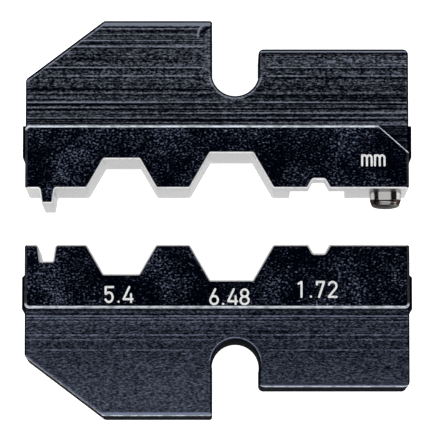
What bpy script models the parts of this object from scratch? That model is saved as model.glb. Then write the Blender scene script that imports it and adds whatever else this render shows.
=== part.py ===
"""Coaxial crimp die: two steel halves with three hexagonal nests, and the guide pin of the upper one.

Both halves lie on their backs with their nests facing each other, held apart by the open gap.
X runs along the die, Y is the closing direction and Z runs through the thickness, from the back
faces at zero. A half is drawn with its height counted from its own nest plane. Its blank is a
plate (tang and lands) joined to a thicker head block, and one contour then cuts the nest plane,
the nests and the locating tooth or notch through it.
"""

import math

import bpy
import numpy as np

MM = 0.001

# Head block, which carries the nests and stands proud of the tang at front and back
HEAD_WIDTH = 34.0 * MM
HEAD_HEIGHT = 5.65 * MM
HEAD_THICKNESS = 8.0 * MM
HEAD_END_BREAK = 0.15 * MM
PAD_STEP = 0.75 * MM
PAD_EDGE = 0.2 * MM
PAD_FACE_CORNER = 0.25 * MM

# Cut corner of the upper half's front pad, a poka-yoke mark beside the guide pin
MARK_ALONG = 2.75 * MM
MARK_DOWN = 2.45 * MM
MARK_EDGE = 0.1 * MM

# Lands at the ends of the head, which locate it sideways in the jaw
LAND_OUT = 0.25 * MM
LAND_HEIGHT = 2.8 * MM

# Tang, which goes between the cheeks of the jaw
TANG_HEIGHT = 15.1 * MM
TANG_STEP_DOWN = 2.55 * MM
TANG_BEVEL_RUN = 6.95 * MM
TANG_BEVEL_RISE = 5.25 * MM
TANG_EDGE = 0.12 * MM
TANG_FACE_CORNER = 0.35 * MM

# Keyhole slot for the jaw's locating pin
SLOT_X = 1.62 * MM
SLOT_FLOOR = 8.36 * MM
JAW_PIN = 4.0 * MM
SLOT_CLEARANCE = 0.05 * MM
SLOT_RELIEF = 0.05 * MM
SLOT_FACE_CORNER = 0.115 * MM

# Hexagonal nests in a row between tooth and pin: across flats, and how far each is set to the left
# of the place where all the flats between them would be equally wide
MEDIUM_NEST = 5.4 * MM
MEDIUM_NEST_SHIFT = 0.32 * MM
LARGE_NEST = 6.48 * MM
LARGE_NEST_SHIFT = 0.49 * MM
SMALL_NEST = 1.72 * MM
SMALL_NEST_SHIFT = 0.55 * MM
NEST_LIP_RADIUS = 0.3 * MM
NEST_FLOOR_RADIUS = 0.1 * MM
NEST_EDGE = 0.05 * MM
SMALL_NEST_MOUTH = 0.16 * MM

# Pocket behind the small nest, which leaves it a short front land
POCKET_WIDTH = 5.0 * MM
POCKET_DEPTH = 2.6 * MM
POCKET_CORNER = 0.5 * MM
SMALL_NEST_LAND = 2.46 * MM

# Locating tooth of the upper half, and the fit of the notch that takes it
GUIDE_INSET = 1.96 * MM
TOOTH_ROOT = 1.38 * MM
TOOTH_TIP = 0.98 * MM
TOOTH_HEIGHT = 1.33 * MM
TOOTH_CORNER = 0.15 * MM
TOOTH_FILLET = 0.2 * MM
NOTCH_CLEARANCE = 0.065 * MM
NOTCH_END_CLEARANCE = 0.14 * MM
NOTCH_LIP_RADIUS = 0.3 * MM

# Guide pin, a press fit in the upper half and a sliding fit in the lower one
PIN_DIAMETER = 2.8 * MM
PIN_SEAT = 5.0 * MM
PIN_STRAIGHT = 0.6 * MM
PIN_LEAD = 0.6 * MM
PIN_LEAD_IN = 0.2 * MM
PIN_DOME = 0.2 * MM
PIN_PRESS_GAP = 0.02 * MM
PIN_GUIDE_GAP = 0.05 * MM
PIN_END_GAP = 0.3 * MM
BORE_SPARE_DEPTH = 1.1 * MM
BORE_MOUTH = 0.12 * MM

# Gap between the nest planes: as the halves lie, and with the jaw shut
OPEN_GAP = 5.0 * MM
CLOSED_GAP = 0.2 * MM

# How finely round stretches are drawn, and how far a cutter reaches past what it cuts
CORNER_STEPS = 6
EDGE_STEPS = 3
SLOT_STEPS = 48
TURNED_STEPS = 48
REACH = 2.0 * MM

BLACK_STEEL = dict(color=(0.03, 0.034, 0.045), roughness=0.45, metallic=0.9)
BRIGHT_STEEL = dict(color=(0.5, 0.47, 0.44), roughness=0.18, metallic=1.0)

# Places that follow from the sizes above
HALF_WIDTH = HEAD_WIDTH / 2
TANG_BACK = PAD_STEP
TANG_FRONT = HEAD_THICKNESS - PAD_STEP
TOOTH_X = -HALF_WIDTH + GUIDE_INSET
PIN_X = HALF_WIDTH - GUIDE_INSET
SLOT_HALF_WIDTH = JAW_PIN / 2 + SLOT_CLEARANCE
SLOT_RADIUS = SLOT_HALF_WIDTH + SLOT_RELIEF


def nest_reach(flats):
    """Half the width of a nest where its 60 degree walls meet the nest plane."""
    return (flats - CLOSED_GAP / 2) / math.sqrt(3)


def nest_row():
    """Places of the medium, large and small nest, each a flat and half a nest on from the last."""
    start = TOOTH_X + TOOTH_ROOT / 2
    end = PIN_X - PIN_DIAMETER / 2
    reaches = [nest_reach(flats) for flats in (MEDIUM_NEST, LARGE_NEST, SMALL_NEST)]
    flat = (end - start - 2 * sum(reaches)) / (len(reaches) + 1)
    even = [start + flat * (index + 1) + 2 * sum(reaches[:index]) + reach
            for index, reach in enumerate(reaches)]
    shifts = (MEDIUM_NEST_SHIFT, LARGE_NEST_SHIFT, SMALL_NEST_SHIFT)
    return [place - shift for place, shift in zip(even, shifts)]


MEDIUM_NEST_X, LARGE_NEST_X, SMALL_NEST_X = nest_row()


def rounded(corners):
    """Closed outline through (x, y, radius) corners, each rounded by an arc tangent to its sides."""
    points = []
    for index, (x, y, radius) in enumerate(corners):
        corner = np.array([x, y])
        if radius == 0:
            points.append(corner)
            continue
        before = np.array(corners[index - 1][:2]) - corner
        after = np.array(corners[(index + 1) % len(corners)][:2]) - corner
        before = before / np.linalg.norm(before)
        after = after / np.linalg.norm(after)
        half_angle = math.acos(float(np.clip(before @ after, -1, 1))) / 2
        middle = before + after
        centre = corner + middle / np.linalg.norm(middle) * radius / math.sin(half_angle)
        start = corner + before * radius / math.tan(half_angle) - centre
        turn = math.pi - 2 * half_angle
        side = math.copysign(1, before[0] * after[1] - before[1] * after[0])
        for step in range(CORNER_STEPS + 1):
            angle = -side * turn * step / CORNER_STEPS
            points.append(centre + np.array([
                start[0] * math.cos(angle) - start[1] * math.sin(angle),
                start[0] * math.sin(angle) + start[1] * math.cos(angle)]))
    return np.array(points)


def grown(outline, distance):
    """Anticlockwise outline with every side moved outwards by a distance, mitred at the corners."""
    along = np.roll(outline, -1, axis=0) - outline
    along = along / np.linalg.norm(along, axis=1, keepdims=True)
    normal = np.stack([along[:, 1], -along[:, 0]], axis=1)
    previous = np.roll(normal, 1, axis=0)
    mitre = (normal + previous) / (1 + np.sum(normal * previous, axis=1, keepdims=True))
    return outline + distance * mitre


def round_edges(low, high, radius):
    """Levels (z, growth) of a plate between two faces whose edges are rounded to a radius."""
    bend = np.linspace(0, math.pi / 2, EDGE_STEPS + 1)
    growth = radius * (np.sin(bend) - 1)
    rise = radius * (1 - np.cos(bend))
    back = list(zip(low + rise, growth))
    front = list(zip(high - rise, growth))
    return back + front[::-1]


def new_object(name, vertices, faces, parent=None, material=None):
    """Object with a mesh, shaded smooth up to the angle of a real edge."""
    mesh = bpy.data.meshes.new(name)
    mesh.from_pydata([tuple(map(float, point)) for point in vertices], [], faces)
    mesh.shade_smooth()
    mesh.set_sharp_from_angle(angle=math.radians(25))
    if material is not None:
        mesh.materials.append(material)
    made = bpy.data.objects.new(name, mesh)
    bpy.context.collection.objects.link(made)
    made.parent = parent
    return made


def prism(name, outline, levels, side=1, parent=None, material=None):
    """Solid through an outline at each (z, growth) level; side -1 mirrors it in the nest plane."""
    outline = outline * np.array([1, side])
    if side < 0:
        outline = outline[::-1]
    count = len(outline)
    rings = [np.column_stack([grown(outline, growth), np.full(count, z)]) for z, growth in levels]
    faces = [list(range(count))[::-1]]
    for level in range(len(levels) - 1):
        for index in range(count):
            following = (index + 1) % count
            low, high = level * count, (level + 1) * count
            faces.append([low + index, low + following, high + following, high + index])
    top = (len(levels) - 1) * count
    faces.append(list(range(top, top + count)))
    return new_object(name, np.concatenate(rings), faces, parent, material)


def turned(name, profile, parent=None, material=None):
    """Solid of revolution about local Z; its (radius, z) profile starts and ends on the axis."""
    angles = np.linspace(0, 2 * math.pi, TURNED_STEPS, endpoint=False)
    circle = np.stack([np.cos(angles), np.sin(angles)], axis=1)
    wall = profile[1:-1]
    rings = [np.column_stack([circle * radius, np.full(TURNED_STEPS, z)]) for radius, z in wall]
    vertices = np.concatenate(rings + [[[0, 0, profile[0][1]]], [[0, 0, profile[-1][1]]]])
    first_pole = len(wall) * TURNED_STEPS
    last_ring = first_pole - TURNED_STEPS
    faces = []
    for index in range(TURNED_STEPS):
        following = (index + 1) % TURNED_STEPS
        faces.append([first_pole, following, index])
        faces.append([first_pole + 1, last_ring + index, last_ring + following])
        for ring in range(len(wall) - 1):
            low, high = ring * TURNED_STEPS, (ring + 1) * TURNED_STEPS
            faces.append([low + index, low + following, high + following, high + index])
    return new_object(name, vertices, faces, parent, material)


def combine(target, tool, operation):
    """Join a tool to a target or cut it away; the tool itself is only a guide."""
    tool.hide_render = True
    tool.display_type = "WIRE"
    change = target.modifiers.new(tool.name, "BOOLEAN")
    change.operation = operation
    change.solver = "EXACT"
    change.object = tool


def steel(name, color, roughness, metallic):
    """Principled steel finish."""
    material = bpy.data.materials.new(name)
    material.use_nodes = True
    shader = material.node_tree.nodes["Principled BSDF"]
    shader.inputs["Base Color"].default_value = (*color, 1)
    shader.inputs["Roughness"].default_value = roughness
    shader.inputs["Metallic"].default_value = metallic
    material.diffuse_color = (*color, 1)
    return material


def keyhole():
    """Wall of the slot from its right-hand side round the circle at its foot to its left-hand side."""
    centre_y = SLOT_FLOOR + SLOT_RADIUS
    start = math.acos(SLOT_HALF_WIDTH / SLOT_RADIUS)
    angles = np.linspace(start, -math.pi - start, SLOT_STEPS)
    return [(SLOT_X + SLOT_RADIUS * math.cos(angle), centre_y + SLOT_RADIUS * math.sin(angle), 0)
            for angle in angles]


def plate_outline():
    """Tang with its bevelled corner, stepped top and keyhole slot, and the lands below it."""
    corner = TANG_EDGE + TANG_FACE_CORNER
    land_end = HALF_WIDTH + LAND_OUT
    land_foot = HEAD_HEIGHT - LAND_HEIGHT
    hidden = LAND_OUT + PAD_EDGE
    right_top = TANG_HEIGHT - TANG_STEP_DOWN
    return rounded([
        (land_end - hidden, land_foot - hidden, 0),
        (land_end, land_foot, 0),
        (land_end, HEAD_HEIGHT, 0),
        (HALF_WIDTH, HEAD_HEIGHT, 0),
        (HALF_WIDTH, right_top, corner),
        (SLOT_X + SLOT_HALF_WIDTH, right_top, corner),
        *keyhole(),
        (SLOT_X - SLOT_HALF_WIDTH, TANG_HEIGHT, TANG_EDGE + SLOT_FACE_CORNER),
        (-HALF_WIDTH + TANG_BEVEL_RUN, TANG_HEIGHT, corner),
        (-HALF_WIDTH, TANG_HEIGHT - TANG_BEVEL_RISE, corner),
        (-HALF_WIDTH, HEAD_HEIGHT, 0),
        (-land_end, HEAD_HEIGHT, 0),
        (-land_end, land_foot, 0),
        (-land_end + hidden, land_foot - hidden, 0),
    ])


def head_outline():
    """Head block before the nest contour is cut, so it reaches below the nest plane and the tooth."""
    corner = PAD_EDGE + PAD_FACE_CORNER
    foot = -TOOTH_HEIGHT - PAD_EDGE
    return rounded([
        (-HALF_WIDTH, foot, 0),
        (HALF_WIDTH, foot, 0),
        (HALF_WIDTH, HEAD_HEIGHT, corner),
        (-HALF_WIDTH, HEAD_HEIGHT, corner),
    ])


def half_hexagon(centre, flats, drop, lip_radius):
    """Corners of a nest, half a hexagon centred midway between the nest planes of the shut die.

    The walls run down at 60 degrees to a drop below the nest plane, so a drop of zero ends on it.
    """
    floor = flats / math.sqrt(12)
    depth = (flats - CLOSED_GAP) / 2
    lip = nest_reach(flats) + drop / math.sqrt(3)
    return [
        (centre + lip, -drop, lip_radius),
        (centre + floor, depth, NEST_FLOOR_RADIUS),
        (centre - floor, depth, NEST_FLOOR_RADIUS),
        (centre - lip, -drop, lip_radius),
    ]


def tooth():
    """Corners of the locating tooth, which the contour leaves standing below the nest plane."""
    return [
        (TOOTH_X + TOOTH_ROOT / 2, 0, TOOTH_FILLET),
        (TOOTH_X + TOOTH_TIP / 2, -TOOTH_HEIGHT, TOOTH_CORNER),
        (TOOTH_X - TOOTH_TIP / 2, -TOOTH_HEIGHT, TOOTH_CORNER),
        (TOOTH_X - TOOTH_ROOT / 2, 0, TOOTH_FILLET),
    ]


def notch():
    """Corners of the notch that takes the tooth with its clearance."""
    depth = TOOTH_HEIGHT + NOTCH_END_CLEARANCE
    return [
        (TOOTH_X + TOOTH_ROOT / 2 + NOTCH_CLEARANCE, 0, NOTCH_LIP_RADIUS),
        (TOOTH_X + TOOTH_TIP / 2 + NOTCH_CLEARANCE, depth, NEST_FLOOR_RADIUS),
        (TOOTH_X - TOOTH_TIP / 2 - NOTCH_CLEARANCE, depth, NEST_FLOOR_RADIUS),
        (TOOTH_X - TOOTH_ROOT / 2 - NOTCH_CLEARANCE, 0, NOTCH_LIP_RADIUS),
    ]


def contour(locator):
    """Waste under the nest plane: it reaches into the wide nests and leaves or cuts the locator.

    Past the ends of the head it rises at 45 degrees, which breaks the end corners.
    """
    end = HALF_WIDTH + REACH
    foot = -TOOTH_HEIGHT - PAD_EDGE - REACH
    return rounded([
        (-end, foot, 0),
        (end, foot, 0),
        (end, HEAD_END_BREAK + REACH, 0),
        (HALF_WIDTH - HEAD_END_BREAK, 0, 0),
        *half_hexagon(LARGE_NEST_X, LARGE_NEST, 0, NEST_LIP_RADIUS),
        *half_hexagon(MEDIUM_NEST_X, MEDIUM_NEST, 0, NEST_LIP_RADIUS),
        *locator,
        (-HALF_WIDTH + HEAD_END_BREAK, 0, 0),
        (-end, HEAD_END_BREAK + REACH, 0),
    ])


def die_half(name, side, locator, material, parent=None):
    """One half: blank, nest contour, bell-mouthed small nest and the pocket behind it."""
    half = prism(name, plate_outline(), round_edges(TANG_BACK, TANG_FRONT, TANG_EDGE), side,
                 parent, material)
    head = prism(name + "_head_block", head_outline(), round_edges(0, HEAD_THICKNESS, PAD_EDGE), side, half)
    combine(half, head, "UNION")

    past = NEST_EDGE
    cut = prism(name + "_nest_contour", contour(locator), [
        (-past, NEST_EDGE + past),
        (NEST_EDGE, 0),
        (HEAD_THICKNESS - NEST_EDGE, 0),
        (HEAD_THICKNESS + past, NEST_EDGE + past),
    ], side, half)
    combine(half, cut, "DIFFERENCE")

    past = SMALL_NEST_MOUTH
    small = rounded(half_hexagon(SMALL_NEST_X, SMALL_NEST, past, 0))
    bell = prism(name + "_small_nest", small, [
        (-past, 0),
        (HEAD_THICKNESS - SMALL_NEST_MOUTH, 0),
        (HEAD_THICKNESS + past, SMALL_NEST_MOUTH + past),
    ], side, half)
    combine(half, bell, "DIFFERENCE")

    reach = POCKET_WIDTH / 2
    pocket_outline = rounded([
        (SMALL_NEST_X - reach, -REACH, 0),
        (SMALL_NEST_X + reach, -REACH, 0),
        (SMALL_NEST_X + reach, POCKET_DEPTH, POCKET_CORNER),
        (SMALL_NEST_X - reach, POCKET_DEPTH, POCKET_CORNER),
    ])
    pocket = prism(name + "_pocket", pocket_outline,
                   [(-REACH, 0), (HEAD_THICKNESS - SMALL_NEST_LAND, 0)], side, half)
    combine(half, pocket, "DIFFERENCE")
    return half


def bore(name, half, side, radius, depth, mouth):
    """Round hole for the guide pin from the nest plane up, with its mouth broken at 45 degrees."""
    tool = turned(name, [
        (0, -REACH),
        (radius + mouth + REACH, -REACH),
        (radius, mouth),
        (radius, depth),
        (0, depth),
    ], half)
    tool.location = (PIN_X, 0, HEAD_THICKNESS / 2)
    tool.rotation_euler = (-side * math.pi / 2, 0, 0)
    combine(half, tool, "DIFFERENCE")


def cut_corner(half):
    """Diagonal cut of the front pad's corner above the guide pin, down to the face of the tang."""
    past = PAD_STEP
    top, end = HEAD_HEIGHT, HALF_WIDTH
    slope = MARK_DOWN / MARK_ALONG
    outline = np.array([
        (end + past, top - MARK_DOWN - past * slope),
        (end + past, top + past),
        (end - MARK_ALONG - past / slope, top + past),
    ])
    tool = prism(half.name + "_mark", outline, [
        (TANG_FRONT, 0),
        (HEAD_THICKNESS - MARK_EDGE, 0),
        (HEAD_THICKNESS + past, MARK_EDGE + past),
    ], 1, half)
    combine(half, tool, "DIFFERENCE")


def pin(parent, material):
    """Turned guide pin: seated end, straight guide, tapered lead and a slightly domed tip."""
    radius = PIN_DIAMETER / 2
    shoulder = PIN_STRAIGHT + PIN_LEAD
    tip_radius = radius - PIN_LEAD_IN
    dome = [(tip_radius * math.cos(angle), shoulder + PIN_DOME * math.sin(angle))
            for angle in np.linspace(0, math.pi / 2, EDGE_STEPS + 2)]
    return turned("guide_pin", [
        (0, -PIN_SEAT),
        (radius - PIN_LEAD_IN, -PIN_SEAT),
        (radius, -PIN_SEAT + PIN_LEAD_IN),
        (radius, PIN_STRAIGHT),
        *dome[:-1],
        (0, shoulder + PIN_DOME),
    ], parent, material)


def build():
    """Both halves and the guide pin, the upper ones under an empty that slides along Y to close."""
    for item in list(bpy.data.objects):
        bpy.data.objects.remove(item, do_unlink=True)

    slide = bpy.data.objects.new("upper_half", None)
    bpy.context.collection.objects.link(slide)
    slide.location = (PIN_X, OPEN_GAP / 2, HEAD_THICKNESS / 2)

    upper = die_half("upper_die", 1, tooth(), steel("upper_black_steel", **BLACK_STEEL), slide)
    upper.location = (-PIN_X, 0, -HEAD_THICKNESS / 2)
    cut_corner(upper)
    pin_radius = PIN_DIAMETER / 2
    bore("upper_die_pin_seat", upper, 1, pin_radius + PIN_PRESS_GAP, PIN_SEAT + PIN_END_GAP, 0)

    lower = die_half("lower_die", -1, notch(), steel("lower_black_steel", **BLACK_STEEL))
    lower.location = (0, -OPEN_GAP / 2, 0)
    bore_depth = PIN_STRAIGHT + PIN_LEAD + PIN_DOME + BORE_SPARE_DEPTH
    bore("lower_die_pin_bore", lower, -1, pin_radius + PIN_GUIDE_GAP, bore_depth, BORE_MOUTH)

    guide = pin(slide, steel("pin_bright_steel", **BRIGHT_STEEL))
    guide.rotation_euler = (math.pi / 2, 0, 0)


build()
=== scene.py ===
"""Looks of the coaxial crimp die: blackened halves with ground nests, and a guide pin.

Lengths are in metres and Z points up. A half is laid out in (x, h), where h is the height above its
own nest plane: the upper half runs from its nest plane towards +Y and the lower half towards -Y.
Materials work in millimetres.
"""

import functools
import math

import bpy
import numpy as np
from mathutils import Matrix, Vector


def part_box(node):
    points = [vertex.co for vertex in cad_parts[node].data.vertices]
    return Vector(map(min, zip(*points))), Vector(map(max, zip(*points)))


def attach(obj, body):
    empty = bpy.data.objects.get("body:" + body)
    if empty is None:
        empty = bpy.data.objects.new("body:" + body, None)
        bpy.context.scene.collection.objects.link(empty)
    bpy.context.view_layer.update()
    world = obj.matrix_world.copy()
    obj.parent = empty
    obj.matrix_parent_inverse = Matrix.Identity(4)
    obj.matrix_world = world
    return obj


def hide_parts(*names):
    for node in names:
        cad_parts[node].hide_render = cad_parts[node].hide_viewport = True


bl_info = {
    "name": "Coaxial crimp die",
    "version": (1, 0, 0),
    "blender": (4, 5, 0),
    "location": "View3D > Sidebar > Crimp die",
    "description": "Machined halves, guide pin and studio for a die with three hexagonal nests",
    "category": "Object",
}

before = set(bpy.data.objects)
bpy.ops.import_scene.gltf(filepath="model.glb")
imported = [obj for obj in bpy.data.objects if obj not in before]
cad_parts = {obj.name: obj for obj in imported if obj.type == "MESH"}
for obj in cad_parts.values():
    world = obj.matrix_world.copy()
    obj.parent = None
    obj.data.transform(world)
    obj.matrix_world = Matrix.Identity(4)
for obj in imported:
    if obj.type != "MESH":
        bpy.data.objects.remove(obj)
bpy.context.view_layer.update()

MM = 0.001

# Sizes of the part, the same as in its source
HEAD_WIDTH = 34.0 * MM
HEAD_HEIGHT = 5.65 * MM
HEAD_END_BREAK = 0.15 * MM
PAD_STEP = 0.75 * MM
PAD_CORNER = 0.45 * MM
MARK_ALONG = 2.75 * MM
MARK_DOWN = 2.45 * MM
LAND_OUT = 0.25 * MM
LAND_HEIGHT = 2.8 * MM
TANG_HEIGHT = 15.1 * MM
TANG_STEP_DOWN = 2.55 * MM
TANG_BEVEL_RUN = 6.95 * MM
TANG_BEVEL_RISE = 5.25 * MM
TANG_CORNER = 0.47 * MM
SLOT_X = 1.62 * MM
SLOT_FLOOR = 8.36 * MM
SLOT_HALF_WIDTH = 2.05 * MM
SLOT_RADIUS = 2.1 * MM
SLOT_CORNER = 0.235 * MM
CLOSED_GAP = 0.2 * MM
OPEN_GAP = 5.0 * MM
MEDIUM_NEST, MEDIUM_NEST_X = 5.4 * MM, -8.45 * MM
LARGE_NEST, LARGE_NEST_X = 6.48 * MM, 1.28 * MM
SMALL_NEST, SMALL_NEST_X = 1.72 * MM, 9.0 * MM
NEST_LIP_RADIUS = 0.3 * MM
NEST_FLOOR_RADIUS = 0.1 * MM
POCKET_WIDTH = 5.0 * MM
POCKET_DEPTH = 2.6 * MM
POCKET_CORNER = 0.5 * MM
SMALL_NEST_LAND = 2.46 * MM
SMALL_NEST_RADIUS = 0.2 * MM
TOOTH_X = -15.04 * MM
TOOTH_ROOT = 1.38 * MM
TOOTH_TIP = 0.98 * MM
TOOTH_HEIGHT = 1.33 * MM
TOOTH_CORNER = 0.15 * MM
TOOTH_FILLET = 0.2 * MM
NOTCH_CLEARANCE = 0.065 * MM
NOTCH_END_CLEARANCE = 0.14 * MM
NOTCH_LIP_RADIUS = 0.3 * MM
PIN_STRAIGHT = 0.6 * MM
SEAT_RADIUS = 1.42 * MM
SEAT_DEPTH = 5.3 * MM
BORE_RADIUS = 1.45 * MM
BORE_DEPTH = 2.5 * MM
BORE_MOUTH = 0.12 * MM

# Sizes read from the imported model
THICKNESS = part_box("upper_die")[1].z
PIN_LOW, PIN_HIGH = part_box("guide_pin")
PIN_RADIUS = (PIN_HIGH.x - PIN_LOW.x) / 2
PIN_X = (PIN_HIGH.x + PIN_LOW.x) / 2

HALF_WIDTH = HEAD_WIDTH / 2
TANG_FRONT = THICKNESS - PAD_STEP
SLOT_CENTRE = SLOT_FLOOR + SLOT_RADIUS

# How finely the shapes are drawn
CORNER_STEPS = 10
EDGE_STEPS = 6
SLOT_STEPS = 96
TURNED_STEPS = 128
DOME_STEPS = 12
STROKE_STEPS = 28
LINE_STEPS = 5
END_STEPS = 6
GROOVE_STEPS = 7
TABLE_STEPS = 9

# Angles in degrees at which a stroke's round end and the pin's dome stop, just short of a point
END_TURN = 86
DOME_TURN = 88

# How far a cutter reaches past what it cuts, and how far a stroke's cutter stands above the face
REACH = 2.0 * MM
STROKE_RISE = 0.5 * MM

# Share of a face's normal along Z: it is a wall below the first and lies flat above the second
WALL_SHARE = 0.05
FLAT_SHARE = 0.99

# Angles in degrees from which edges stay sharp, and the share by which a volume may be off
HALF_SHARP = 28
PIN_SHARP = 35
VOLUME_TOLERANCE = 0.01

# Places of the two colours and of the mixed colour among the sockets of a Mix node
MIX_LOW, MIX_HIGH, MIX_RESULT = 6, 7, 2

# Places of the finishes in the material slots of a half
TANG, HEAD, GROUND, WALL, MARK, TANG_EDGE, HEAD_EDGE, NEST_EDGE = range(8)

# Strokes of each character, in heights of a figure: a line is its two ends, and an arc is its
# centre, its two radii and the angles at which it starts and ends
STROKES = {
    "1": [[(0.0, 0.885), (0.2, 1.0)], [(0.2, 1.0), (0.2, 0.0)]],
    "2": [("arc", 0.27, 0.735, 0.255, 0.265, 160, -38), [(0.471, 0.572), (0.02, 0.03)],
          [(0.01, 0.0), (0.53, 0.0)]],
    "4": [[(0.38, 1.0), (0.0, 0.2)], [(0.0, 0.19), (0.6, 0.19)], [(0.5, 0.52), (0.5, 0.0)]],
    "5": [[(0.5, 1.0), (0.0, 1.0)], [(0.0, 1.0), (0.0, 0.55)],
          ("arc", 0.22, 0.32, 0.25, 0.32, 136, -152)],
    "6": [[(0.33, 1.0), (0.03, 0.4)], ("arc", 0.255, 0.27, 0.255, 0.27, 0, 360)],
    "7": [[(0.0, 0.83), (0.0, 1.0)], [(0.0, 1.0), (0.475, 1.0)], [(0.475, 1.0), (0.14, 0.0)]],
    "8": [("arc", 0.27, 0.745, 0.235, 0.24, 0, 360), ("arc", 0.27, 0.255, 0.275, 0.255, 0, 360)],
    "m": [[(0.0, 0.68), (0.0, 0.0)], ("arc", 0.16, 0.48, 0.16, 0.2, 170, 0), [(0.32, 0.48), (0.32, 0.0)],
          ("arc", 0.48, 0.48, 0.16, 0.2, 180, 0), [(0.64, 0.48), (0.64, 0.0)]],
    ".": [[(0.0, 0.02), (0.01, 0.02)]],
}

# Each mark: its middle along X and its height in mm, its characters with where each starts, and its
# width, both in heights of a figure
LOWER_MARKS = [
    (-8.64, 4.43, [("5", 0.0), (".", 0.865), ("4", 1.2)], 1.8),
    (1.10, 4.62, [("6", 0.0), (".", 0.85), ("4", 1.19), ("8", 2.02)], 2.57),
    (8.86, 3.98, [("1", 0.0), (".", 0.82), ("7", 1.23), ("2", 2.01)], 2.54),
]
UPPER_MARKS = [(13.83, 2.7, [("m", 0.0), ("m", 0.86)], 1.5)]

# Grinding streaks on the front of each tang, each with a painted shade line on its shoulder side: height
# above the nest plane in mm, and strength
UPPER_STREAKS = [(5.95, 0.5), (6.39, 0.9), (6.84, 0.75), (7.32, 0.85), (7.76, 1.0), (8.62, 0.2),
                 (10.13, 1.0), (10.91, 0.85), (12.79, 0.65), (13.33, 1.3), (13.87, 0.5), (14.41, 0.5)]
LOWER_STREAKS = [(6.27, 1.25), (6.5, 0.6), (6.78, 0.5), (7.94, 0.5), (8.37, 0.4), (9.28, 0.5)]

# Widths of a streak and of the painted shade line beside it in mm, and how far that painted shade lies
# towards the shoulder
STREAK_WIDTH = 0.15
SHADE_WIDTH = 0.24
SHADE_OFFSET = 0.17

# Centre and radius of the painted highlight arc at the upper slot's left corner
HIGHLIGHT_ARC_X = -0.65 * MM
HIGHLIGHT_ARC_HEIGHT = 13.78 * MM
HIGHLIGHT_ARC_RADIUS = 1.07 * MM

# Pin's lead: distance from the nest plane to its end, where the dome starts, how much it narrows,
# the places and depth of its grooves, and the places and widths of its painted highlight rings in mm
PIN_SHOULDER = 1.12 * MM
PIN_LEAD_IN = 0.18 * MM
PIN_GROOVES = (0.79 * MM, 1.0 * MM)
PIN_GROOVE_DEPTH = 0.02 * MM
PIN_RING_HIGHLIGHTS = [(0.66, 0.18), (0.92, 0.17), (1.07, 0.11)]

# A blackened face reflects a little of its own tint and hardly more at a flat angle
BLACKENED = {"Metallic": 0.3, "Specular_IOR_Level": 0.0, "Specular_Tint": (0.1, 0.1, 0.1, 1)}

# Colours of the deepest black on faces and on edges, the share of white at which the tints of the
# black faces are given, and the power that turns an even step for the eye into a share of light
FACE_BLACK = (0.0005, 0.0009, 0.0034)
EDGE_BLACK = (0.001, 0.0012, 0.002)
TINT_LIGHTNESS = 0.5
EYE_POWER = 2.2

# Light table: half its width and its place below the die
TABLE_HALF = 1.5
TABLE_DROP = 0.02 * MM

# Lights: name, place in metres, turn about X and Y in degrees, size in metres and power in watts
LIGHTS = [
    ("overhead", (-0.07, 0.0, 0.6), (0, -6), (1.25, 1.6), 6.7),
    ("far_card", (0.0, 0.9, 0.3), (-72, 0), (1.2, 0.7), 4.0),
    ("near_card", (0.0, -0.9, 0.3), (72, 0), (1.2, 0.7), 4.0),
]

# Point on the front faces that the camera looks at
AIM_X = 0.04 * MM
AIM_Y = -0.1 * MM


class CrimpDieShape(bpy.types.PropertyGroup):
    head_edge: bpy.props.FloatProperty(
        name="Head edge", description="Rounding of the head block's front and back edges",
        default=0.29 * MM, min=0.02 * MM, max=0.3 * MM, precision=5, unit="LENGTH")
    tang_edge: bpy.props.FloatProperty(
        name="Tang edge", description="Rounding of the tang's front and back edges",
        default=0.12 * MM, min=0.02 * MM, max=0.2 * MM, precision=5, unit="LENGTH")
    nest_edge: bpy.props.FloatProperty(
        name="Nest edge", description="Rounding where the ground nests meet the faces",
        default=0.14 * MM, min=0.02 * MM, max=0.14 * MM, precision=5, unit="LENGTH")
    small_nest_mouth: bpy.props.FloatProperty(
        name="Small nest mouth", description="Bevel round the front of the small nest",
        default=0.16 * MM, min=0.02 * MM, max=0.2 * MM, precision=5, unit="LENGTH")
    mark_height: bpy.props.FloatProperty(
        name="Figure height", description="Height of the engraved figures between stroke centres",
        default=1.32 * MM, min=0.5 * MM, max=2.0 * MM, precision=5, unit="LENGTH")
    mark_width: bpy.props.FloatProperty(
        name="Stroke width", description="Width of the engraved strokes",
        default=0.19 * MM, min=0.05 * MM, max=0.3 * MM, precision=5, unit="LENGTH")
    mark_depth: bpy.props.FloatProperty(
        name="Stroke depth", description="Depth of the engraved strokes",
        default=0.045 * MM, min=0.01 * MM, max=0.1 * MM, precision=5, unit="LENGTH")


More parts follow.
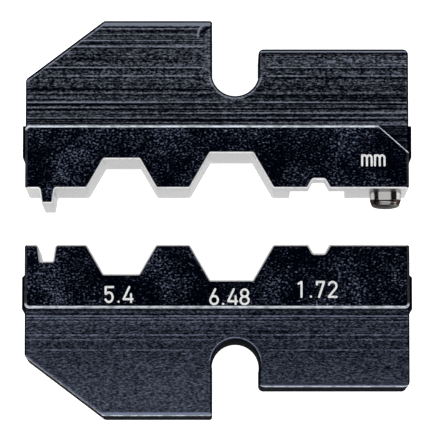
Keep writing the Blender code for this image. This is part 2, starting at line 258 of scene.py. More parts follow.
class CrimpDieFinish(bpy.types.PropertyGroup):
    head_color: bpy.props.FloatVectorProperty(
        name="Head specks", description="Brightest specks on the blackened head",
        default=(0.18, 0.215, 0.32), min=0, max=1, subtype="COLOR")
    tang_color: bpy.props.FloatVectorProperty(
        name="Upper tang streaks", description="Brightest streaks on the upper half's blackened tang",
        default=(0.2, 0.22, 0.28), min=0, max=1, subtype="COLOR")
    lower_tang_color: bpy.props.FloatVectorProperty(
        name="Lower tang streaks", description="Brightest streaks on the lower half's blackened tang",
        default=(0.183, 0.211, 0.3), min=0, max=1, subtype="COLOR")
    ground_color: bpy.props.FloatVectorProperty(
        name="Ground steel", description="Bare ground steel of the nests and the nest plane",
        default=(0.258, 0.258, 0.263), min=0, max=1, subtype="COLOR")
    # Bare steel of rubbing wear, also the colour of the painted highlights on the head's shoulder and
    # the lower tang's top and bevel edges
    edge_wear_and_highlight: bpy.props.FloatVectorProperty(
        name="Worn edges", description="Steel that shows through the black on rubbed edges",
        default=(0.76, 0.81, 0.9), min=0, max=1, subtype="COLOR")
    mark_color: bpy.props.FloatVectorProperty(
        name="Figures", description="White filling of the engraved figures",
        default=(0.9, 0.9, 0.9), min=0, max=1, subtype="COLOR")
    pin_color: bpy.props.FloatVectorProperty(
        name="Guide pin", description="Polished steel of the guide pin",
        default=(0.45, 0.44, 0.43), min=0, max=1, subtype="COLOR")


class CrimpDieStudio(bpy.types.PropertyGroup):
    elevation: bpy.props.FloatProperty(
        name="Camera elevation", description="Angle of the camera above the floor",
        default=math.radians(83.8), min=0, max=math.pi / 2, subtype="ANGLE")
    distance: bpy.props.FloatProperty(
        name="Camera distance", description="From the camera to the front faces of the die",
        default=350 * MM, min=50 * MM, max=1.0, unit="LENGTH")
    lens: bpy.props.FloatProperty(
        name="Focal length", description="Focal length in millimetres on a 36 mm wide sensor",
        default=327.8, min=20, max=500)
    floor_glow: bpy.props.FloatProperty(
        name="Floor glow", description="Light given off by the white light table",
        default=1.0, min=0, max=5)


def unit(vectors):
    """Vectors of an array divided by their lengths."""
    return vectors / np.linalg.norm(vectors, axis=-1, keepdims=True)


def rounded(corners):
    """Closed outline through (x, h, radius) corners.

    Each corner becomes an arc tangent to both its sides. Its centre lies on the bisector, at the
    radius divided by the sine of half the corner's angle, and the arc turns by 180 degrees less
    that angle.
    """
    corners = np.asarray(corners, float)
    here, radius = corners[:, :2], corners[:, 2:]
    before = unit(np.roll(here, 1, axis=0) - here)
    after = unit(np.roll(here, -1, axis=0) - here)
    half = np.arccos(np.clip((before * after).sum(axis=1, keepdims=True), -1, 1)) / 2
    centre = here + unit(before + after) * radius / np.sin(half)
    start = here + before * radius / np.tan(half) - centre
    side = np.sign(before[:, :1] * after[:, 1:] - before[:, 1:] * after[:, :1])
    angle = -side * (np.pi - 2 * half) * np.linspace(0, 1, CORNER_STEPS + 1)
    x = centre[:, :1] + start[:, :1] * np.cos(angle) - start[:, 1:] * np.sin(angle)
    h = centre[:, 1:] + start[:, :1] * np.sin(angle) + start[:, 1:] * np.cos(angle)
    drawn = (radius > 0) | (np.arange(CORNER_STEPS + 1) == 0)
    return np.stack([x, h], axis=2)[drawn]


def mitres(outline):
    """Step of each point of an anticlockwise outline that moves both its sides out by one."""
    along = unit(np.roll(outline, -1, axis=0) - outline)
    normal = np.stack([along[:, 1], -along[:, 0]], axis=1)
    previous = np.roll(normal, 1, axis=0)
    return (normal + previous) / (1 + (normal * previous).sum(axis=1, keepdims=True))


def ring_faces(rings, count, closed=False):
    """Quads of a grid of rings that each run round, with a face over each end unless it is closed."""
    ring = np.arange(rings if closed else rings - 1)[:, None]
    point = np.arange(count)
    following = (point + 1) % count
    above = (ring + 1) % rings
    quads = np.stack(np.broadcast_arrays(
        ring * count + point, ring * count + following,
        above * count + following, above * count + point), axis=2)
    faces = quads.reshape(-1, 4).tolist()
    if not closed:
        faces.append(point[::-1].tolist())
        faces.append((point + (rings - 1) * count).tolist())
    return faces


def new_piece(name, vertices, faces, material):
    """Object at the origin whose mesh holds the vertices in place."""
    mesh = bpy.data.meshes.new(name)
    mesh.from_pydata(vertices.reshape(-1, 3).tolist(), [], faces)
    mesh.materials.append(material)
    piece = bpy.data.objects.new(name, mesh)
    bpy.context.scene.collection.objects.link(piece)
    return piece


def prism(name, outline, levels, side, material):
    """Solid whose wall carries a profile round an outline.

    At level (z, growth) the ring is the outline plus growth times its mitres, so the profile keeps
    its shape on every side. The outline's h becomes y = side * (half the open gap + h).
    """
    z, growth = np.array(levels, float).T
    rings = outline + growth[:, None, None] * mitres(outline)
    y = side * (OPEN_GAP / 2 + rings[..., 1])
    vertices = np.stack([rings[..., 0], y, np.broadcast_to(z[:, None], y.shape)], axis=2)
    if side < 0:
        vertices = vertices[:, ::-1]
    return new_piece(name, vertices, ring_faces(len(z), len(outline)), material)


def convex_edges(low, high, radius):
    """Levels of a blank: quarter circles from each face into the wall."""
    bend = np.linspace(0, np.pi / 2, EDGE_STEPS + 1)
    growth = radius * (np.sin(bend) - 1)
    rise = radius * (1 - np.cos(bend))
    front = list(zip(high - rise, growth))
    return list(zip(low + rise, growth)) + front[::-1]


def flared_edges(low, high, radius):
    """Levels of a cutter that leaves quarter circles where its wall meets both faces."""
    bend = np.linspace(0, np.pi / 2, EDGE_STEPS + 1)
    growth = radius * (1 - np.cos(bend))
    rise = radius * (1 - np.sin(bend))
    front = list(zip(high - rise, growth)) + [(high + REACH, radius)]
    return [(low - REACH, radius)] + list(zip(low + rise, growth))[::-1] + front


def keyhole():
    """Slot wall from its right side round the circle at its foot: centre plus radius times angle."""
    start = math.acos(SLOT_HALF_WIDTH / SLOT_RADIUS)
    angle = np.linspace(start, -np.pi - start, SLOT_STEPS)
    x = SLOT_X + SLOT_RADIUS * np.cos(angle)
    h = SLOT_CENTRE + SLOT_RADIUS * np.sin(angle)
    return np.stack([x, h, np.zeros(SLOT_STEPS)], axis=1).tolist()


def plate_outline(edge):
    """Tang with its bevelled corner, stepped top and keyhole slot, and the lands below it."""
    land_end = HALF_WIDTH + LAND_OUT
    land_foot = HEAD_HEIGHT - LAND_HEIGHT
    hidden = LAND_OUT + edge
    right_top = TANG_HEIGHT - TANG_STEP_DOWN
    return rounded([
        (land_end - hidden, land_foot - hidden, 0),
        (land_end, land_foot, 0),
        (land_end, HEAD_HEIGHT, 0),
        (HALF_WIDTH, HEAD_HEIGHT, 0),
        (HALF_WIDTH, right_top, TANG_CORNER),
        (SLOT_X + SLOT_HALF_WIDTH, right_top, TANG_CORNER),
        *keyhole(),
        (SLOT_X - SLOT_HALF_WIDTH, TANG_HEIGHT, SLOT_CORNER),
        (-HALF_WIDTH + TANG_BEVEL_RUN, TANG_HEIGHT, TANG_CORNER),
        (-HALF_WIDTH, TANG_HEIGHT - TANG_BEVEL_RISE, TANG_CORNER),
        (-HALF_WIDTH, HEAD_HEIGHT, 0),
        (-land_end, HEAD_HEIGHT, 0),
        (-land_end, land_foot, 0),
        (-land_end + hidden, land_foot - hidden, 0),
    ])


def head_outline(edge):
    """Head block before the nests are cut, so it reaches below the nest plane and the tooth."""
    foot = -TOOTH_HEIGHT - edge
    return rounded([
        (-HALF_WIDTH, foot, 0),
        (HALF_WIDTH, foot, 0),
        (HALF_WIDTH, HEAD_HEIGHT, PAD_CORNER),
        (-HALF_WIDTH, HEAD_HEIGHT, PAD_CORNER),
    ])


def half_hexagon(centre, flats, drop, lip_radius, floor_radius=NEST_FLOOR_RADIUS):
    """Corners of a nest: a hexagon's lower half, centred midway between the shut nest planes."""
    floor = flats / math.sqrt(12)
    lip = (flats - CLOSED_GAP / 2 + drop) / math.sqrt(3)
    depth = (flats - CLOSED_GAP) / 2
    return [
        (centre + lip, -drop, lip_radius),
        (centre + floor, depth, floor_radius),
        (centre - floor, depth, floor_radius),
        (centre - lip, -drop, lip_radius),
    ]


def tooth():
    """Corners of the locating tooth, which stands below the nest plane."""
    return [
        (TOOTH_X + TOOTH_ROOT / 2, 0, TOOTH_FILLET),
        (TOOTH_X + TOOTH_TIP / 2, -TOOTH_HEIGHT, TOOTH_CORNER),
        (TOOTH_X - TOOTH_TIP / 2, -TOOTH_HEIGHT, TOOTH_CORNER),
        (TOOTH_X - TOOTH_ROOT / 2, 0, TOOTH_FILLET),
    ]


def notch():
    """Corners of the notch that takes the tooth with its clearance."""
    depth = TOOTH_HEIGHT + NOTCH_END_CLEARANCE
    root, tip = TOOTH_ROOT / 2 + NOTCH_CLEARANCE, TOOTH_TIP / 2 + NOTCH_CLEARANCE
    return [
        (TOOTH_X + root, 0, NOTCH_LIP_RADIUS),
        (TOOTH_X + tip, depth, NEST_FLOOR_RADIUS),
        (TOOTH_X - tip, depth, NEST_FLOOR_RADIUS),
        (TOOTH_X - root, 0, NOTCH_LIP_RADIUS),
    ]


def nest_contour(locator):
    """Waste below the nest plane, reaching into the wide nests and round the tooth or notch."""
    end = HALF_WIDTH + REACH
    foot = -TOOTH_HEIGHT - REACH
    return rounded([
        (-end, foot, 0),
        (end, foot, 0),
        (end, HEAD_END_BREAK + REACH, 0),
        (HALF_WIDTH - HEAD_END_BREAK, 0, 0),
        *half_hexagon(LARGE_NEST_X, LARGE_NEST, 0, NEST_LIP_RADIUS),
        *half_hexagon(MEDIUM_NEST_X, MEDIUM_NEST, 0, NEST_LIP_RADIUS),
        *locator,
        (-HALF_WIDTH + HEAD_END_BREAK, 0, 0),
        (-end, HEAD_END_BREAK + REACH, 0),
    ])


def turned(name, profile, y, direction, material):
    """Solid of revolution about the guide pin's axis: radius times the cosine and sine of an angle.

    The profile starts at y and runs forwards or backwards by its direction. The sine is taken away
    on a forward run and added on a backward one, so that the faces point outwards on both.
    """
    radius, along = np.array(profile, float).T
    angle = np.linspace(0, 2 * np.pi, TURNED_STEPS, endpoint=False)
    x = PIN_X + radius[:, None] * np.cos(angle)
    z = THICKNESS / 2 - direction * radius[:, None] * np.sin(angle)
    vertices = np.stack([x, np.broadcast_to((y + direction * along)[:, None], x.shape), z], axis=2)
    return new_piece(name, vertices, ring_faces(len(radius), TURNED_STEPS), material)


def stroke(name, course, shape, material, closed):
    """Cutter for one engraved stroke: a round-bottomed profile carried along a course.

    Across the course the profile is half the width times the cosine of an angle, and its depth goes
    with the root of the sine. At an open end it moves on by half the width times the sine of an
    angle and narrows by its cosine, which rounds the end.
    """
    half_width, depth = shape.mark_width / 2, shape.mark_depth
    if closed:
        ahead, behind = np.roll(course, -1, axis=0), np.roll(course, 1, axis=0)
        along, narrow = unit(ahead - behind), np.ones(len(course))
    else:
        along = unit(np.gradient(course, axis=0))
        bend = np.linspace(0, np.radians(END_TURN), END_STEPS + 1)[1:]
        out, shrink = half_width * np.sin(bend)[:, None], np.cos(bend)
        head, tail = course[0] - along[0] * out[::-1], course[-1] + along[-1] * out
        narrow = np.concatenate([shrink[::-1], np.ones(len(course)), shrink])
        course = np.concatenate([head, course, tail])
        along = np.pad(along, ((END_STEPS, END_STEPS), (0, 0)), mode="edge")
    across = np.stack([-along[:, 1], along[:, 0]], axis=1)
    turn = np.linspace(0, np.pi, GROOVE_STEPS)
    offset = half_width * np.concatenate([[1.0], np.cos(turn), [-1.0]])
    height = np.concatenate([[STROKE_RISE], -depth * np.sqrt(np.sin(turn).clip(0)), [STROKE_RISE]])
    points = course[:, None] + across[:, None] * (narrow[:, None] * offset)[..., None]
    z = np.broadcast_to(THICKNESS + height, points.shape[:2])
    vertices = np.concatenate([points, z[..., None]], axis=2)
    faces = ring_faces(len(course), len(offset), closed)
    return new_piece(name, vertices, [face[::-1] for face in faces], material)


def stroke_course(form):
    """Points of a stroke and whether it closes: a line, or a centre plus radii times cosine and sine."""
    if form[0] != "arc":
        share = np.linspace(0, 1, LINE_STEPS)[:, None]
        return np.array(form[0]) * (1 - share) + np.array(form[1]) * share, False
    centre, radii, (first, last) = np.array(form[1:3]), np.array(form[3:5]), form[5:]
    closed = abs(last - first) == 360
    angle = np.radians(np.linspace(first, last, STROKE_STEPS, endpoint=not closed))
    return centre + radii * np.stack([np.cos(angle), np.sin(angle)], axis=1), closed


def engraving(marks, side, shape, material):
    """Cutters for all the strokes of the marks of one half."""
    cutters = []
    size = shape.mark_height
    for x_mm, h_mm, characters, width in marks:
        corner = np.array([x_mm * MM - width * size / 2, side * (OPEN_GAP / 2 + h_mm * MM) - size / 2])
        for character, start in characters:
            for form in STROKES[character]:
                course, closed = stroke_course(form)
                course = corner + size * (course + [start, 0])
                cutters.append(stroke(f"mark_{len(cutters)}", course, shape, material, closed))
    return cutters


def apply_modifiers(piece):
    """Gives a piece the mesh that its modifiers make, and takes them off."""
    depsgraph = bpy.context.evaluated_depsgraph_get()
    result = bpy.data.meshes.new_from_object(piece.evaluated_get(depsgraph))
    piece.modifiers.clear()
    piece.data = result


def combine(target, tools, operation):
    """Joins tools to a target or cuts them from it, then removes them. Faces keep their finish."""
    group = bpy.data.collections.new(target.name + "_tools")
    for tool in tools:
        group.objects.link(tool)
    change = target.modifiers.new("combine", "BOOLEAN")
    change.operation = operation
    change.solver = "EXACT"
    change.material_mode = "TRANSFER"
    change.operand_type = "COLLECTION"
    change.collection = group
    apply_modifiers(target)
    bpy.data.collections.remove(group)
    for tool in tools:
        bpy.data.objects.remove(tool, do_unlink=True)


def dress(piece, finishes):
    """Sets the finishes of a half, from the finish that cut each face and the way it points."""
    mesh = piece.data
    count = len(mesh.polygons)
    slot = np.zeros(count, np.int32)
    normal = np.zeros(count * 3, np.float32)
    mesh.polygons.foreach_get("material_index", slot)
    mesh.polygons.foreach_get("normal", normal)
    names = [material.name for material in mesh.materials]
    order = [finish.name for finish in finishes]
    slot = np.array([order.index(name) for name in names])[slot]
    upright = np.abs(normal.reshape(-1, 3)[:, 2])
    tilted = (upright > WALL_SHARE) & (upright < FLAT_SHARE)
    for face, edge in ((TANG, TANG_EDGE), (HEAD, HEAD_EDGE), (GROUND, NEST_EDGE)):
        slot[tilted & (slot == face)] = edge
    slot[(upright < WALL_SHARE) & (slot < GROUND)] = WALL
    slot[(upright > FLAT_SHARE) & (slot == HEAD_EDGE)] = TANG
    mesh.materials.clear()
    for finish in finishes:
        mesh.materials.append(finish)
    mesh.polygons.foreach_set("material_index", slot.astype(np.int32))


def check_solid(piece, cad_node):
    """Raises an error unless a piece is closed and holds as much as the node it stands for.

    Every edge must have two faces. The volume is a third of the sum over the faces of area times
    the distance of the face's plane from the origin. A piece turned inside out has it below nought.
    """
    edges = np.zeros(len(piece.data.loops), np.int32)
    piece.data.loops.foreach_get("edge_index", edges)
    if not (np.bincount(edges, minlength=len(piece.data.edges)) == 2).all():
        raise RuntimeError(f"{piece.name} has open or doubled edges")
    volume, packed = (sum(face.area * face.center.dot(face.normal) for face in mesh.polygons) / 3
                      for mesh in (piece.data, bpy.data.objects[cad_node].data))
    if abs(volume - packed) > VOLUME_TOLERANCE * packed:
        raise RuntimeError(f"{piece.name} holds {volume} and {cad_node} holds {packed}")


def smooth(piece, degrees):
    """Smooth shading that stays flat on the large faces and breaks at real edges."""
    piece.data.shade_smooth()
    piece.data.set_sharp_from_angle(angle=math.radians(degrees))
    weigh = piece.modifiers.new("weigh", "WEIGHTED_NORMAL")
    weigh.keep_sharp = True
    weigh.weight = 100
    apply_modifiers(piece)


class Signal:
    """A number inside a material. Arithmetic on signals adds the Math nodes that work it out."""

    def __init__(self, finish, socket):
        self.finish = finish
        self.socket = socket

    def math(self, operation, *others):
        values = dict(enumerate((self, *others)))
        return self.finish.add("ShaderNodeMath", {"operation": operation}, values)

    def __add__(self, other):
        return self.math("ADD", other)

    def __mul__(self, other):
        return self.math("MULTIPLY", other)

    def __sub__(self, other):
        return self.math("SUBTRACT", other)

    def __truediv__(self, other):
        return self.math("DIVIDE", other)

    def __pow__(self, other):
        return self.math("POWER", other)

    def __neg__(self):
        return self * -1

    def __abs__(self):
        return self.math("ABSOLUTE")

    def __rsub__(self, other):
        return -self + other

    __radd__ = __add__
    __rmul__ = __mul__

    def within(self, low, high):
        """Nought below low, one above high and a smooth climb between them."""
        values = {"Value": self, "From Min": low, "From Max": high}
        return self.finish.add("ShaderNodeMapRange", {"interpolation_type": "SMOOTHSTEP"}, values)

    def largest(self, other):
        return self.math("MAXIMUM", other)

    def smallest(self, other):
        return self.math("MINIMUM", other)

    def line(self, place, width):
        """One near a place, falling smoothly to nought half a width away on both sides."""
        return 1 - abs(self - place).within(0.15 * width, 0.5 * width)


def largest_of(signals):
    """The largest of several signals."""
    return functools.reduce(Signal.largest, signals)


class Finish:
    """One material while its nodes are put together round a Principled shader."""

    def __init__(self, name, **constants):
        self.material = bpy.data.materials.new(name)
        self.material.use_nodes = True
        self.tree = self.material.node_tree
        self.shader = self.tree.nodes["Principled BSDF"]
        for socket, value in constants.items():
            self.shader.inputs[socket.replace("_", " ")].default_value = value
        coordinates = self.add("ShaderNodeTexCoord", output="Object")
        self.place = self.add("ShaderNodeVectorMath", {"operation": "SCALE"},
                              {"Vector": coordinates, "Scale": 1 / MM})

    def add(self, kind, settings=None, values=None, output=0):
        """Any node: its settings first, then the values or links of its sockets."""
        node = self.tree.nodes.new(kind)
        for setting, value in (settings or {}).items():
            setattr(node, setting, value)
        for socket, value in (values or {}).items():
            if isinstance(value, Signal):
                self.tree.links.new(value.socket, node.inputs[socket])
            else:
                node.inputs[socket].default_value = value
        return Signal(self, node.outputs[output])

    def axis(self, letter):
        """One coordinate in millimetres."""
        return self.add("ShaderNodeSeparateXYZ", values={"Vector": self.place}, output=letter)

    def noise(self, stretch, scale, detail=2.0, roughness=0.5):
        """Noise between 0 and 1, with stretch times scale grains per millimetre along each axis."""
        place = self.add("ShaderNodeVectorMath", {"operation": "MULTIPLY"},
                         {0: self.place, 1: stretch})
        return self.add("ShaderNodeTexNoise", values={
            "Vector": place, "Scale": scale, "Detail": detail, "Roughness": roughness})

    def mix(self, share, low, high):
        """Colour between two, as RGB triples or signals."""
        low, high = (end if isinstance(end, Signal) else (*end, 1) for end in (low, high))
        return self.add("ShaderNodeMix", {"data_type": "RGBA"},
                        {0: share, MIX_LOW: low, MIX_HIGH: high}, MIX_RESULT)

    def darker(self, share, depth, color):
        """Colour between a share of itself, which is its depth, and the full colour."""
        return self.mix(share, tuple(depth * value for value in color), tuple(color))

    def give(self, socket, signal):
        """Feeds a signal to a socket of the shader."""
        self.tree.links.new(signal.socket, self.shader.inputs[socket])

    def bump(self, height, depth):
        """Relief of the surface, with a depth in metres for a height of one."""
        self.give("Normal", self.add("ShaderNodeBump", values={
            "Height": height, "Distance": depth, "Strength": 1.0}, output="Normal"))


def blacken(finish, lightness, tint):
    """Base colour of a blackened face: its tint, times a lightness that the eye sees evenly."""
    share = (lightness / TINT_LIGHTNESS).largest(0.0) ** EYE_POWER
    finish.give("Base Color", finish.mix(share, FACE_BLACK, tuple(tint)))


def half_height(finish, side):
    """Height above the nest plane of a half, in millimetres."""
    return finish.axis("Y") * side - OPEN_GAP / 2 / MM


def right_of_slot(x):
    """One to the right of the slot's middle and nought to its left."""
    return (x - SLOT_X / MM).within(-0.01, 0.01)


def tang_sides(x, height):
    """Distances of a point inside the tang to its stepped top and to its bevel, in millimetres.

    Both are linear in x and h, and the top steps down to the right of the slot.
    """
    half, top = HALF_WIDTH / MM, TANG_HEIGHT / MM
    run, rise = TANG_BEVEL_RUN / MM, TANG_BEVEL_RISE / MM
    below_top = top - height - right_of_slot(x) * (TANG_STEP_DOWN / MM)
    bevel = ((x + half) * rise - (height - (top - rise)) * run) / math.hypot(run, rise)
    return below_top, bevel


def slot_distance(x, height):
    """Distance to the slot's wall in millimetres.

    It is the distance to a vertical line that ends at the centre of the slot's foot, less the
    slot's radius.
    """
    from_foot = (height - SLOT_CENTRE / MM).smallest(0.0)
    return ((x - SLOT_X / MM) ** 2 + from_foot ** 2) ** 0.5 - SLOT_RADIUS / MM


def black_head(colors):
    """Blackened head face: bluish black with fine grey specks that crowd in soft clouds."""
    finish = Finish("black_head", **BLACKENED)
    grain = finish.noise((0.68, 1.0, 1.0), 6.6, 1.0, 0.6)
    cloud = finish.noise((1, 1, 1), 0.3)
    lightness = 0.02 + (grain - 0.5) * 1.1 + (cloud - 0.5) * 0.55
    blacken(finish, lightness.largest(0.0) * (0.5 + grain * 1.2), colors.head_color)
    finish.give("Roughness", grain * 0.3 + 0.4)
    finish.bump(grain, 0.012 * MM)
    return finish.material


class TangFinish(Finish):
    """Blackened face of a tang, with the distances in millimetres and the noises that it is made of."""

    def __init__(self, side):
        super().__init__("black_tang_" + ("upper" if side > 0 else "lower"), **BLACKENED)
        self.x = self.axis("X")
        self.height = half_height(self, side)
        self.right = right_of_slot(self.x)
        self.below_top, self.bevel = tang_sides(self.x, self.height)
        self.from_slot = slot_distance(self.x, self.height)
        self.crown = self.below_top.smallest(self.bevel)
        self.margin = (HALF_WIDTH / MM - abs(self.x)).smallest(self.crown).smallest(self.from_slot)
        self.near_shoulder = 1 - self.height.within(7.6, 9.2)
        self.past_rim = self.below_top.within(0.3, 0.6)
        self.clear_of_slot = self.from_slot.within(0.4, 1.2)
        self.slot_foot = 1 - self.height.within(SLOT_CENTRE / MM - 0.6, SLOT_CENTRE / MM)
        self.lines = self.noise((0.03, 7.5, 1.0), 1.0, roughness=0.6)
        self.patches = self.noise((0.35, 3.0, 1.0), 1.0)
        self.grain = self.noise((0.5, 1.0 if side > 0 else 1.25, 1.0), 7.5, roughness=0.7)

    def streaks(self, streaks, shade):
        """A bright bell at each streak's height, and a painted shade bell, as dark as the shade, on its
        shoulder side.
        """
        height = self.height
        bright = largest_of([height.line(place, STREAK_WIDTH) * strength
                             for place, strength in streaks])
        dark = largest_of([height.line(place - SHADE_OFFSET, SHADE_WIDTH) * strength
                           for place, strength in streaks])
        dark = dark * height.within(5.85, 6.0) * (1 - height.within(11.5, 12.5) * 0.8)
        bright = bright * 0.34 * (0.45 + self.patches.within(0.3, 0.6) * 0.55)
        return (bright - dark * shade) * self.clear_of_slot * self.past_rim

    def upper_layers(self):
        """Sum of the upper half's layers, and where its dark outline ends.

        Beside the slot runs a lighter bank, which ends at the top in an arc of painted highlight: a
        bright bell at a set distance from the arc's centre with a dark one of painted shade inside it,
        both only above and to the left.
        """
        height, below_top, margin = self.height, self.below_top, self.margin
        from_slot, left = self.from_slot, 1 - self.right
        ruled = self.near_shoulder.largest(height.within(12.0, 12.8))
        level = 0.19 - self.near_shoulder * 0.03
        level = level - height.line(8.95, 0.7) * 0.12 - height.line(8.42, 0.5) * 0.1
        texture = (self.lines - 0.5) * (0.8 + ruled * 0.45) * self.clear_of_slot
        speckle = (self.grain - 0.5) * (1.5 - ruled * 0.4) * (0.5 + self.past_rim * 0.5)
        streak = self.streaks(UPPER_STREAKS, 0.12 + self.near_shoulder * 0.06)

        # The rim and the strip along the top are painted highlight where the face rolls off at its top,
        # bevel, shoulder, margins and slot foot, with lines of painted shade inside it
        inside = below_top * (1 + self.right * 0.55)
        rim = inside.line(0.31, 0.4) * 0.38 + self.bevel.line(0.24, 0.22) * 0.3
        rim = rim - inside.line(0.64, 0.2) * (0.2 - left * 0.12)
        rim = rim - below_top.line(1.02, 0.26) * left * 0.12 + margin.line(0.24, 0.2) * 0.05
        rim = rim + height.line(5.74, 0.24) * 0.3 + from_slot.line(0.23, 0.22) * self.slot_foot * 0.3
        strip = (1 - self.past_rim) * 0.1

        bank = (1 - from_slot.within(0.2, 1.4)) * left * 0.09
        # Painted highlight arc at the slot's left corner, with painted shade inside it
        arc_x, arc_height = HIGHLIGHT_ARC_X / MM, HIGHLIGHT_ARC_HEIGHT / MM
        from_arc = ((self.x - arc_x) ** 2 + (height - arc_height) ** 2) ** 0.5
        corner = 1 - self.x.within(arc_x - 0.1, arc_x + 0.1)
        corner = corner * height.within(arc_height - 0.25, arc_height)
        arc = (from_arc.line(HIGHLIGHT_ARC_RADIUS / MM, 0.28) * 0.42 - from_arc.line(0.7, 0.55) * 0.16) * corner

        outline = margin.within(0.08, 0.15).smallest(self.crown.within(0.14, 0.2))
        return level + texture + speckle + streak + rim + strip + bank + arc, outline

    def lower_layers(self):
        """Sum of the lower half's layers, and where its dark outline ends."""
        height, right = self.height, self.right
        level = 0.16 + height.within(6.0, 13.5) * 0.087 + self.near_shoulder * 0.03 - right * 0.018
        texture = (self.lines - 0.5) * (0.1 + self.near_shoulder * 0.25)
        speckle = (self.grain - 0.5) * (0.9 + self.near_shoulder * 0.15) * (0.5 + self.past_rim * 0.5)
        streak = self.streaks(LOWER_STREAKS, 0.07)

        # The rim is painted highlight where the face rolls off at its top, bevel and slot foot
        rim = (self.below_top * (1 + right * 0.7)).line(0.14, 0.48) * (0.44 - right * 0.16)
        rim = rim + self.bevel.line(0.12, 0.2) * 0.15
        rim = rim + self.from_slot.line(0.18, 0.14) * self.slot_foot * 0.3
        strip = height.line(5.95, 0.5) * 0.04

        outline = self.margin.within(0.08, 0.15).largest(1 - self.crown.within(0.2, 0.3))
        return level + texture + speckle + streak + rim + strip, outline


def black_tang(colors, side):
    """Blackened tang face with surface grinding streaks, a rim of painted highlight and a dark outline.

    Lightness is a sum: a level, long noise for the grinding, round noise for the grain, bright
    bells for the streaks and dark bells of painted shade beside them, and bells at set distances
    inside the outline for the rim's painted highlight and shade.
    """
    finish = TangFinish(side)
    layers, outline = finish.upper_layers() if side > 0 else finish.lower_layers()
    # Where the tang face lies below the head's height, in the cut corner and on the lands beside the
    # raised head, it is darkened: painted shade in the recess
    floor = finish.height.within(HEAD_HEIGHT / MM - 0.1, HEAD_HEIGHT / MM)
    lightness = layers * (0.08 + outline * 0.92) * (0.55 + floor * 0.45)
    blacken(finish, lightness, colors.tang_color if side > 0 else colors.lower_tang_color)
    finish.give("Roughness", finish.grain * 0.25 + 0.35)
    finish.bump(finish.lines * 0.7 + finish.grain * 0.3, 0.01 * MM)
    return finish.material


def black_wall(colors):
    """Blackened side walls, with the upright marks that a milling cutter leaves."""
    finish = Finish("black_wall", **BLACKENED)
    marks = finish.noise((9.0, 9.0, 0.12), 1.0)
    grain = finish.noise((1, 1, 1), 6.0, roughness=0.6)
    blacken(finish, 0.05 + (marks - 0.5) * 0.3 + (grain - 0.5) * 0.3, colors.tang_color)
    finish.give("Roughness", grain * 0.25 + 0.35)
    finish.bump(marks * 0.7 + grain * 0.3, 0.01 * MM)
    return finish.material


def ground_steel(colors):
    """Bare ground steel of the nests, with faint lines along the cut."""
    finish = Finish("ground_steel", Metallic=1.0)
    lines = finish.noise((0.4, 0.4, 9.0), 1.0, 3.0, 0.6)
    grain = finish.noise((1, 1, 1), 5.0)
    finish.give("Base Color", finish.darker(lines.within(0.35, 0.7) * 0.7, 0.86, colors.ground_color))
    finish.give("Roughness", grain * 0.2 + 0.22)
    finish.bump(lines, 0.006 * MM)
    return finish.material


def rubbed_and_lit(name, colors, share):
    """Rounded edge, black below and bright as bare steel for a share that varies along it, standing for
    rubbing wear and, where the share is large, painted highlight.
    """
    finish = Finish(name, **BLACKENED)
    patches = finish.noise((0.6, 1, 1), 2.2, 3.0, 0.6)
    worn_and_lit = share(finish) * (0.5 + patches.within(0.35, 0.6) * 0.5)
    finish.give("Base Color", finish.mix(worn_and_lit, EDGE_BLACK, tuple(colors.edge_wear_and_highlight)))
    finish.give("Roughness", patches * 0.2 + 0.35)
    return finish.material


def head_edge(colors, side):
    """The head's rounded edge, bright along the shoulder and its cut corner with rubbing and painted
    highlight, black down its ends.
    """
    def share(finish):
        height = half_height(finish, side)
        # The shoulder and the cut corner are painted as catching the light, more on the upper half than
        # the lower, besides their wear
        shoulder = height.within(5.1, 5.4)
        if side > 0:
            corner = (HALF_WIDTH - MARK_ALONG) / MM
            foot = (HEAD_HEIGHT - MARK_DOWN) / MM
            cut = finish.axis("X").within(corner, corner + 0.2) * height.within(foot - 0.1, foot + 0.1)
            shoulder = shoulder.largest(cut)
        return shoulder * (0.95 if side > 0 else 0.77) + 0.05
    return rubbed_and_lit("head_edge", colors, share)


def tang_edge(colors, side):
    """The tang's rounded edge, black with a little wear, and bright with painted highlight along the
    lower half's top and bevel.
    """
    def share(finish):
        worn_and_lit = finish.noise((1, 1, 1), 0.6).within(0.3, 0.7) * 0.025
        if side < 0:
            # Painted highlight along the lower tang's top and bevel edges
            below_top, bevel = tang_sides(finish.axis("X"), half_height(finish, side))
            worn_and_lit = worn_and_lit + (1 - below_top.within(0.12, 0.2)) * 0.65
            worn_and_lit = worn_and_lit.largest((1 - bevel.within(0.12, 0.2)) * 0.35)
        return worn_and_lit
    return rubbed_and_lit("tang_edge", colors, share)


def nest_edge(side):
    """The thin edge of the ground nests, painted as a highlight: bright on the upper half and duller on
    the lower.
    """
    finish = Finish("nest_edge", Metallic=0.2, Roughness=0.4)
    grain = finish.noise((1, 1, 1), 3.0)
    # Near-white base colour on the ground steel edge is painted highlight, weaker on the lower half
    bright = 0.95 if side > 0 else 0.62
    low = (0.8 * bright, 0.8 * bright, 0.81 * bright)
    finish.give("Base Color", finish.mix(grain.within(0.3, 0.6), low, (bright, bright, bright)))
    return finish.material


def white_mark(colors):
    """White filling of the engraved figures, slightly uneven."""
    finish = Finish("white_mark", Roughness=0.6)
    grain = finish.noise((1, 1, 1), 8.0)
    finish.give("Base Color", finish.darker(grain.within(0.3, 0.6), 0.75, colors.mark_color))
    return finish.material


